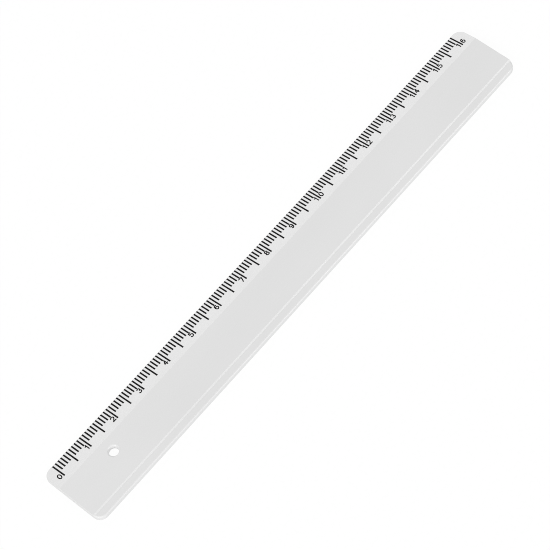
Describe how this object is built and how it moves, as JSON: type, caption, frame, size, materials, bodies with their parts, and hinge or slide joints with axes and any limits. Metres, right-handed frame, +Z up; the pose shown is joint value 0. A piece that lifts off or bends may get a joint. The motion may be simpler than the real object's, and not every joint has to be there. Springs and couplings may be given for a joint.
{
  "type": "ruler",
  "caption": "Flat moulded plastic ruler with a bevelled scale edge, a stepped back edge, a hanging hole and a printed centimetre and millimetre scale.",
  "frame": {"origin": "centre of the underside, which is the bottom centre of the bounding box", "axes": "+X along the scale from the zero mark to the last mark, +Y from the stepped back edge to the scale edge, +Z up from the underside to the printed face"},
  "size_m": [0.1672, 0.02, 0.002],
  "materials": {
    "white_plastic": "smooth moulded white plastic with a soft sheen",
    "black_ink": "thin matt printed ink"
  },
  "bodies": {
    "root": {"ruler_body": "white_plastic", "millimetre_marks": "black_ink", "half_centimetre_marks": "black_ink", "centimetre_marks": "black_ink", "numerals": "black_ink"}
  },
  "joints": []
}
